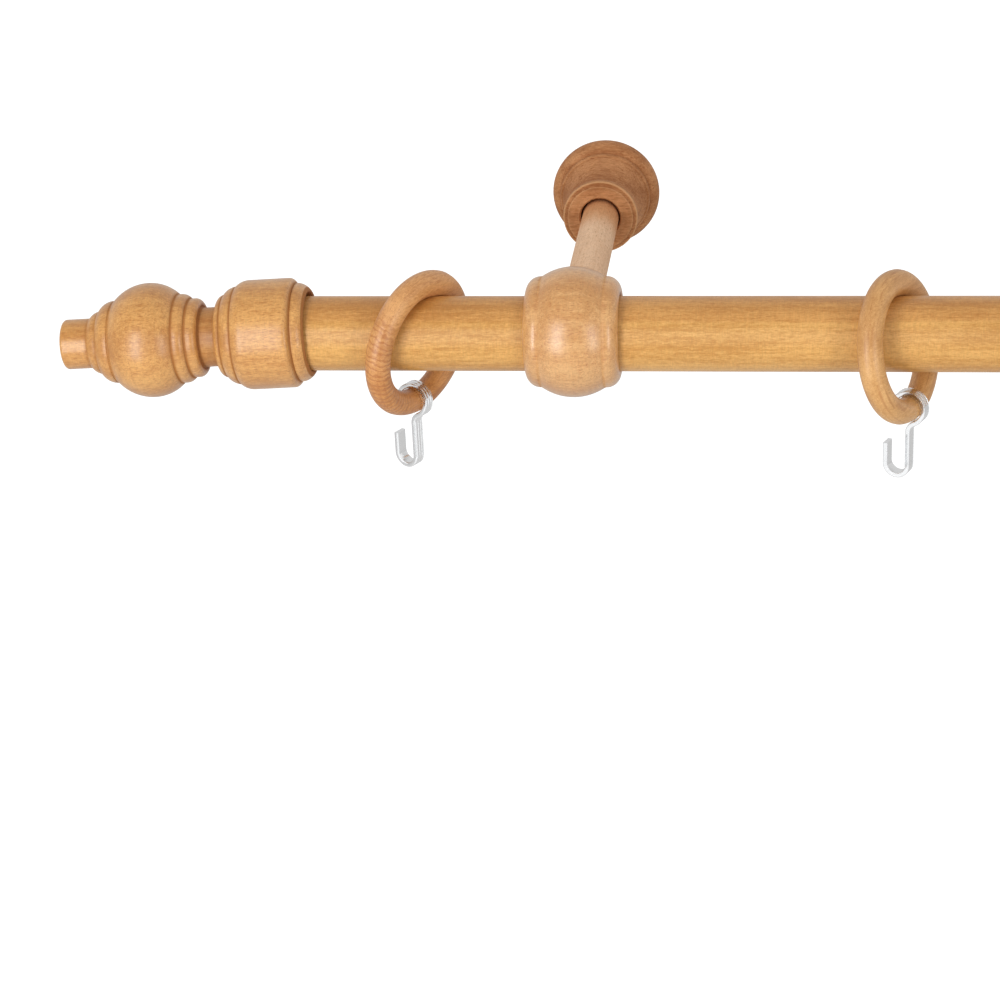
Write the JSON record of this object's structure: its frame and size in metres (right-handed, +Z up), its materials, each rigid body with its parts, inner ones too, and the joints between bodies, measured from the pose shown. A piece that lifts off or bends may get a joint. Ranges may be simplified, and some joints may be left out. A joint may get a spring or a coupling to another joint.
{
  "type": "wooden curtain rod",
  "caption": "Round wooden curtain rod on two turned wall brackets with dowel arms and bell-shaped roses, with turned end finials, sliding wooden rings and clear ring hooks.",
  "frame": {"origin": "on the wall plane, midway between the two wall roses and on the height of their axes", "axes": "+X along the rod, +Y into the wall, +Z up"},
  "size_m": [1.343, 0.2313, 0.0818],
  "materials": {
    "rod_wood": "golden varnished wood, satin",
    "finial_wood": "honey varnished beech, satin",
    "holder_wood": "varnished beech, satin",
    "raw_wood": "raw beech dowel, matt",
    "rose_wood": "varnished beech, satin",
    "ring_wood": "orange-brown varnished beech, satin",
    "clear_plastic": "clear moulded plastic",
    "screw_steel": "zinc-plated steel"
  },
  "bodies": {
    "pole": {"rod": "rod_wood", "finial_left": "finial_wood", "rod_holder_left": "holder_wood", "bracket_arm_left": "raw_wood", "wall_rose_left": "rose_wood", "wall_screw_left": "screw_steel", "arm_screw_left": "screw_steel", "rod_screw_left": "screw_steel", "finial_right": "finial_wood", "rod_holder_right": "holder_wood", "bracket_arm_right": "raw_wood", "wall_rose_right": "rose_wood", "wall_screw_right": "screw_steel", "arm_screw_right": "screw_steel", "rod_screw_right": "screw_steel"},
    "ring_1": {"ring_1": "ring_wood"},
    "hook_1": {"ring_hook_1": "clear_plastic"},
    "ring_2": {"ring_2": "ring_wood"},
    "hook_2": {"ring_hook_2": "clear_plastic"},
    "ring_3": {"ring_3": "ring_wood"},
    "hook_3": {"ring_hook_3": "clear_plastic"},
    "ring_4": {"ring_4": "ring_wood"},
    "hook_4": {"ring_hook_4": "clear_plastic"},
    "ring_5": {"ring_5": "ring_wood"},
    "hook_5": {"ring_hook_5": "clear_plastic"},
    "ring_6": {"ring_6": "ring_wood"},
    "hook_6": {"ring_hook_6": "clear_plastic"},
    "ring_7": {"ring_7": "ring_wood"},
    "hook_7": {"ring_hook_7": "clear_plastic"}
  },
  "joints": [
    {"name": "ring_1_slide", "type": "slide", "parent": "pole", "child": "ring_1", "axis": [1, 0, 0], "range_m": [-0.02, 0.023]},
    {"name": "hook_1_swing", "type": "hinge", "parent": "ring_1", "child": "hook_1", "pos_m": [-0.53843, -0.15838, -0.02908], "axis": [0.5045, 0.8634, 0], "range_deg": [-60, 60]},
    {"name": "ring_2_slide", "type": "slide", "parent": "pole", "child": "ring_2", "axis": [1, 0, 0], "range_m": [-0.055, 0.055]},
    {"name": "hook_2_swing", "type": "hinge", "parent": "ring_2", "child": "hook_2", "pos_m": [-0.3529, -0.16501, -0.02878], "axis": [0.421, 0.907, 0], "range_deg": [-60, 60]},
    {"name": "ring_3_slide", "type": "slide", "parent": "pole", "child": "ring_3", "axis": [1, 0, 0], "range_m": [-0.055, 0.055]},
    {"name": "hook_3_swing", "type": "hinge", "parent": "ring_3", "child": "hook_3", "pos_m": [-0.18013, -0.15971, -0.02964], "axis": [0.3907, 0.9205, 0], "range_deg": [-60, 60]},
    {"name": "ring_4_slide", "type": "slide", "parent": "pole", "child": "ring_4", "axis": [1, 0, 0], "range_m": [-0.055, 0.055]},
    {"name": "hook_4_swing", "type": "hinge", "parent": "ring_4", "child": "hook_4", "pos_m": [0.00221, -0.16319, -0.02948], "axis": [0.454, 0.891, 0], "range_deg": [-60, 60]},
    {"name": "ring_5_slide", "type": "slide", "parent": "pole", "child": "ring_5", "axis": [1, 0, 0], "range_m": [-0.055, 0.055]},
    {"name": "hook_5_swing", "type": "hinge", "parent": "ring_5", "child": "hook_5", "pos_m": [0.17976, -0.16193, -0.02968], "axis": [0.3746, 0.9272, 0], "range_deg": [-60, 60]},
    {"name": "ring_6_slide", "type": "slide", "parent": "pole", "child": "ring_6", "axis": [1, 0, 0], "range_m": [-0.055, 0.055]},
    {"name": "hook_6_swing", "type": "hinge", "parent": "ring_6", "child": "hook_6", "pos_m": [0.35539, -0.15916, -0.02954], "axis": [0.4695, 0.8829, 0], "range_deg": [-60, 60]},
    {"name": "ring_7_slide", "type": "slide", "parent": "pole", "child": "ring_7", "axis": [1, 0, 0], "range_m": [-0.024, 0.022]},
    {"name": "hook_7_swing", "type": "hinge", "parent": "ring_7", "child": "hook_7", "pos_m": [0.53882, -0.16379, -0.02929], "axis": [0.4226, 0.9063, 0], "range_deg": [-60, 60]}
  ]
}
